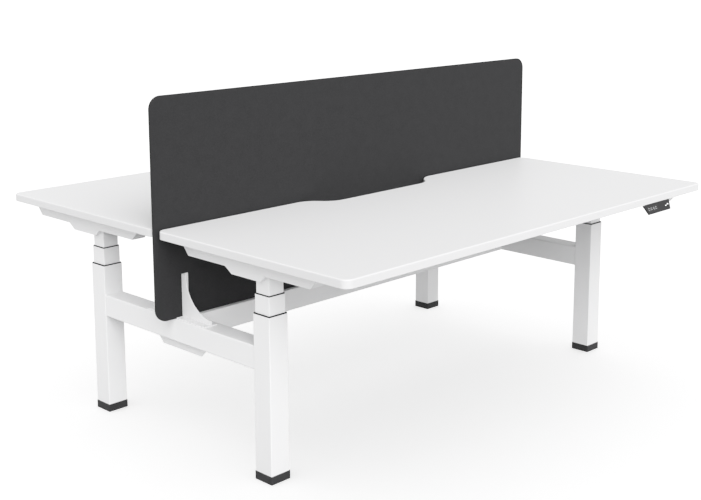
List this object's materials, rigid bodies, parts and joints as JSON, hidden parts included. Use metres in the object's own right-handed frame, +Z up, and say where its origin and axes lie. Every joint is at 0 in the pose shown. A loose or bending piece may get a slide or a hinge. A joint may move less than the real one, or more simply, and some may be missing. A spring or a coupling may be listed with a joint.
{
  "type": "benching desk for two",
  "caption": "Back-to-back bench desk on a shared frame: each worktop rises on telescopic columns beside a felt screen.",
  "frame": {"origin": "on the floor under the middle of the screen, midway between the two desks", "axes": "+X along the worktops, the near desk is towards -Y and the far desk towards +Y, +Z up"},
  "size_m": [1.81, 1.653, 1.09],
  "materials": {
    "worktop_laminate": "white melamine laminate, matt",
    "frame_paint": "white powder coat, satin",
    "screen_felt": "charcoal pressed felt",
    "black_plastic": "black moulded plastic",
    "handset_plastic": "dark grey moulded plastic",
    "key_plastic": "dark soft-touch key",
    "guide_plastic": "natural acetal",
    "steel": "bright steel",
    "zinc_fastener": "zinc-plated steel",
    "white_fastener": "white coated bolt",
    "gearmotor_black": "black coated gearmotor"
  },
  "bodies": {
    "frame": {"side_beam_left": "frame_paint", "side_beam_right": "frame_paint", "centre_beam": "frame_paint", "hanger_plate": "frame_paint", "screen_panel": "screen_felt", "screen_bracket_near_left": "frame_paint", "screen_bracket_near_right": "frame_paint", "screen_bracket_far_left": "frame_paint", "screen_bracket_far_right": "frame_paint", "outer_tube_near_left": "frame_paint", "outer_tube_near_right": "frame_paint", "outer_tube_far_left": "frame_paint", "outer_tube_far_right": "frame_paint", "outer_collars": "black_plastic", "foot_caps": "black_plastic", "base_nut_posts": "steel", "frame_bolts": "white_fastener", "screen_bolts": "white_fastener"},
    "near_top": {"near_worktop": "worktop_laminate", "near_arm_left": "frame_paint", "near_arm_right": "frame_paint", "near_inner_tubes": "frame_paint", "near_lift_nuts": "guide_plastic", "near_gearmotors": "gearmotor_black", "near_motor_covers": "frame_paint", "near_cross_rails": "frame_paint", "near_control_box": "black_plastic", "near_handset": "handset_plastic", "near_fixings": "zinc_fastener"},
    "near_middle_stage": {"middle_tube_near_left": "frame_paint", "middle_tube_near_right": "frame_paint", "near_middle_guides": "black_plastic"},
    "spindle_near_left": {"spindle_near_left": "steel"},
    "drive_shaft_near_left": {"drive_shaft_near_left": "steel"},
    "spindle_near_right": {"spindle_near_right": "steel"},
    "drive_shaft_near_right": {"drive_shaft_near_right": "steel"},
    "near_key_up": {"near_key_up": "key_plastic"},
    "near_key_down": {"near_key_down": "key_plastic"},
    "far_top": {"far_worktop": "worktop_laminate", "far_arm_left": "frame_paint", "far_arm_right": "frame_paint", "far_inner_tubes": "frame_paint", "far_lift_nuts": "guide_plastic", "far_gearmotors": "gearmotor_black", "far_motor_covers": "frame_paint", "far_cross_rails": "frame_paint", "far_control_box": "black_plastic", "far_handset": "handset_plastic", "far_fixings": "zinc_fastener"},
    "far_middle_stage": {"middle_tube_far_left": "frame_paint", "middle_tube_far_right": "frame_paint", "far_middle_guides": "black_plastic"},
    "spindle_far_left": {"spindle_far_left": "steel"},
    "drive_shaft_far_left": {"drive_shaft_far_left": "steel"},
    "spindle_far_right": {"spindle_far_right": "steel"},
    "drive_shaft_far_right": {"drive_shaft_far_right": "steel"},
    "far_key_up": {"far_key_up": "key_plastic"},
    "far_key_down": {"far_key_down": "key_plastic"}
  },
  "joints": [
    {"name": "near_lift", "type": "slide", "parent": "frame", "child": "near_top", "axis": [0, 0, 1], "range_m": [-0.07, 0.58]},
    {"name": "near_middle_lift", "type": "slide", "parent": "frame", "child": "near_middle_stage", "axis": [0, 0, 1], "range_m": [-0.035, 0.29]},
    {"name": "spindle_near_left_turn", "type": "hinge", "parent": "near_middle_stage", "child": "spindle_near_left", "pos_m": [-0.802, -0.405, 0.3], "axis": [0, 0, 1], "range_deg": [-1576, 13051]},
    {"name": "drive_shaft_near_left_turn", "type": "hinge", "parent": "near_top", "child": "drive_shaft_near_left", "pos_m": [-0.802, -0.405, 0.3], "axis": [0, 0, 1], "range_deg": [-1576, 13051]},
    {"name": "spindle_near_right_turn", "type": "hinge", "parent": "near_middle_stage", "child": "spindle_near_right", "pos_m": [0.802, -0.405, 0.3], "axis": [0, 0, 1], "range_deg": [-1576, 13051]},
    {"name": "drive_shaft_near_right_turn", "type": "hinge", "parent": "near_top", "child": "drive_shaft_near_right", "pos_m": [0.802, -0.405, 0.3], "axis": [0, 0, 1], "range_deg": [-1576, 13051]},
    {"name": "near_key_up_press", "type": "slide", "parent": "near_top", "child": "near_key_up", "axis": [0, 0.8762, -0.4819], "range_m": [0, 0.0008], "stiffness_N_per_m": 1500, "springref_m": -0.0004},
    {"name": "near_key_down_press", "type": "slide", "parent": "near_top", "child": "near_key_down", "axis": [0, 0.8762, -0.4819], "range_m": [0, 0.0008], "stiffness_N_per_m": 1500, "springref_m": -0.0004},
    {"name": "far_lift", "type": "slide", "parent": "frame", "child": "far_top", "axis": [0, 0, 1], "range_m": [-0.07, 0.58]},
    {"name": "far_middle_lift", "type": "slide", "parent": "frame", "child": "far_middle_stage", "axis": [0, 0, 1], "range_m": [-0.035, 0.29]},
    {"name": "spindle_far_left_turn", "type": "hinge", "parent": "far_middle_stage", "child": "spindle_far_left", "pos_m": [-0.802, 0.405, 0.3], "axis": [0, 0, 1], "range_deg": [-1576, 13051]},
    {"name": "drive_shaft_far_left_turn", "type": "hinge", "parent": "far_top", "child": "drive_shaft_far_left", "pos_m": [-0.802, 0.405, 0.3], "axis": [0, 0, 1], "range_deg": [-1576, 13051]},
    {"name": "spindle_far_right_turn", "type": "hinge", "parent": "far_middle_stage", "child": "spindle_far_right", "pos_m": [0.802, 0.405, 0.3], "axis": [0, 0, 1], "range_deg": [-1576, 13051]},
    {"name": "drive_shaft_far_right_turn", "type": "hinge", "parent": "far_top", "child": "drive_shaft_far_right", "pos_m": [0.802, 0.405, 0.3], "axis": [0, 0, 1], "range_deg": [-1576, 13051]},
    {"name": "far_key_up_press", "type": "slide", "parent": "far_top", "child": "far_key_up", "axis": [0, -0.8762, -0.4819], "range_m": [0, 0.0008], "stiffness_N_per_m": 1500, "springref_m": -0.0004},
    {"name": "far_key_down_press", "type": "slide", "parent": "far_top", "child": "far_key_down", "axis": [0, -0.8762, -0.4819], "range_m": [0, 0.0008], "stiffness_N_per_m": 1500, "springref_m": -0.0004}
  ],
  "couplings": [
    {"joint": "near_middle_lift", "follows": "near_lift", "ratio": 0.5},
    {"joint": "spindle_near_left_turn", "follows": "near_lift", "rad_per_m": 392.7},
    {"joint": "drive_shaft_near_left_turn", "follows": "near_lift", "rad_per_m": 392.7},
    {"joint": "spindle_near_right_turn", "follows": "near_lift", "rad_per_m": 392.7},
    {"joint": "drive_shaft_near_right_turn", "follows": "near_lift", "rad_per_m": 392.7},
    {"joint": "far_middle_lift", "follows": "far_lift", "ratio": 0.5},
    {"joint": "spindle_far_left_turn", "follows": "far_lift", "rad_per_m": 392.7},
    {"joint": "drive_shaft_far_left_turn", "follows": "far_lift", "rad_per_m": 392.7},
    {"joint": "spindle_far_right_turn", "follows": "far_lift", "rad_per_m": 392.7},
    {"joint": "drive_shaft_far_right_turn", "follows": "far_lift", "rad_per_m": 392.7}
  ]
}
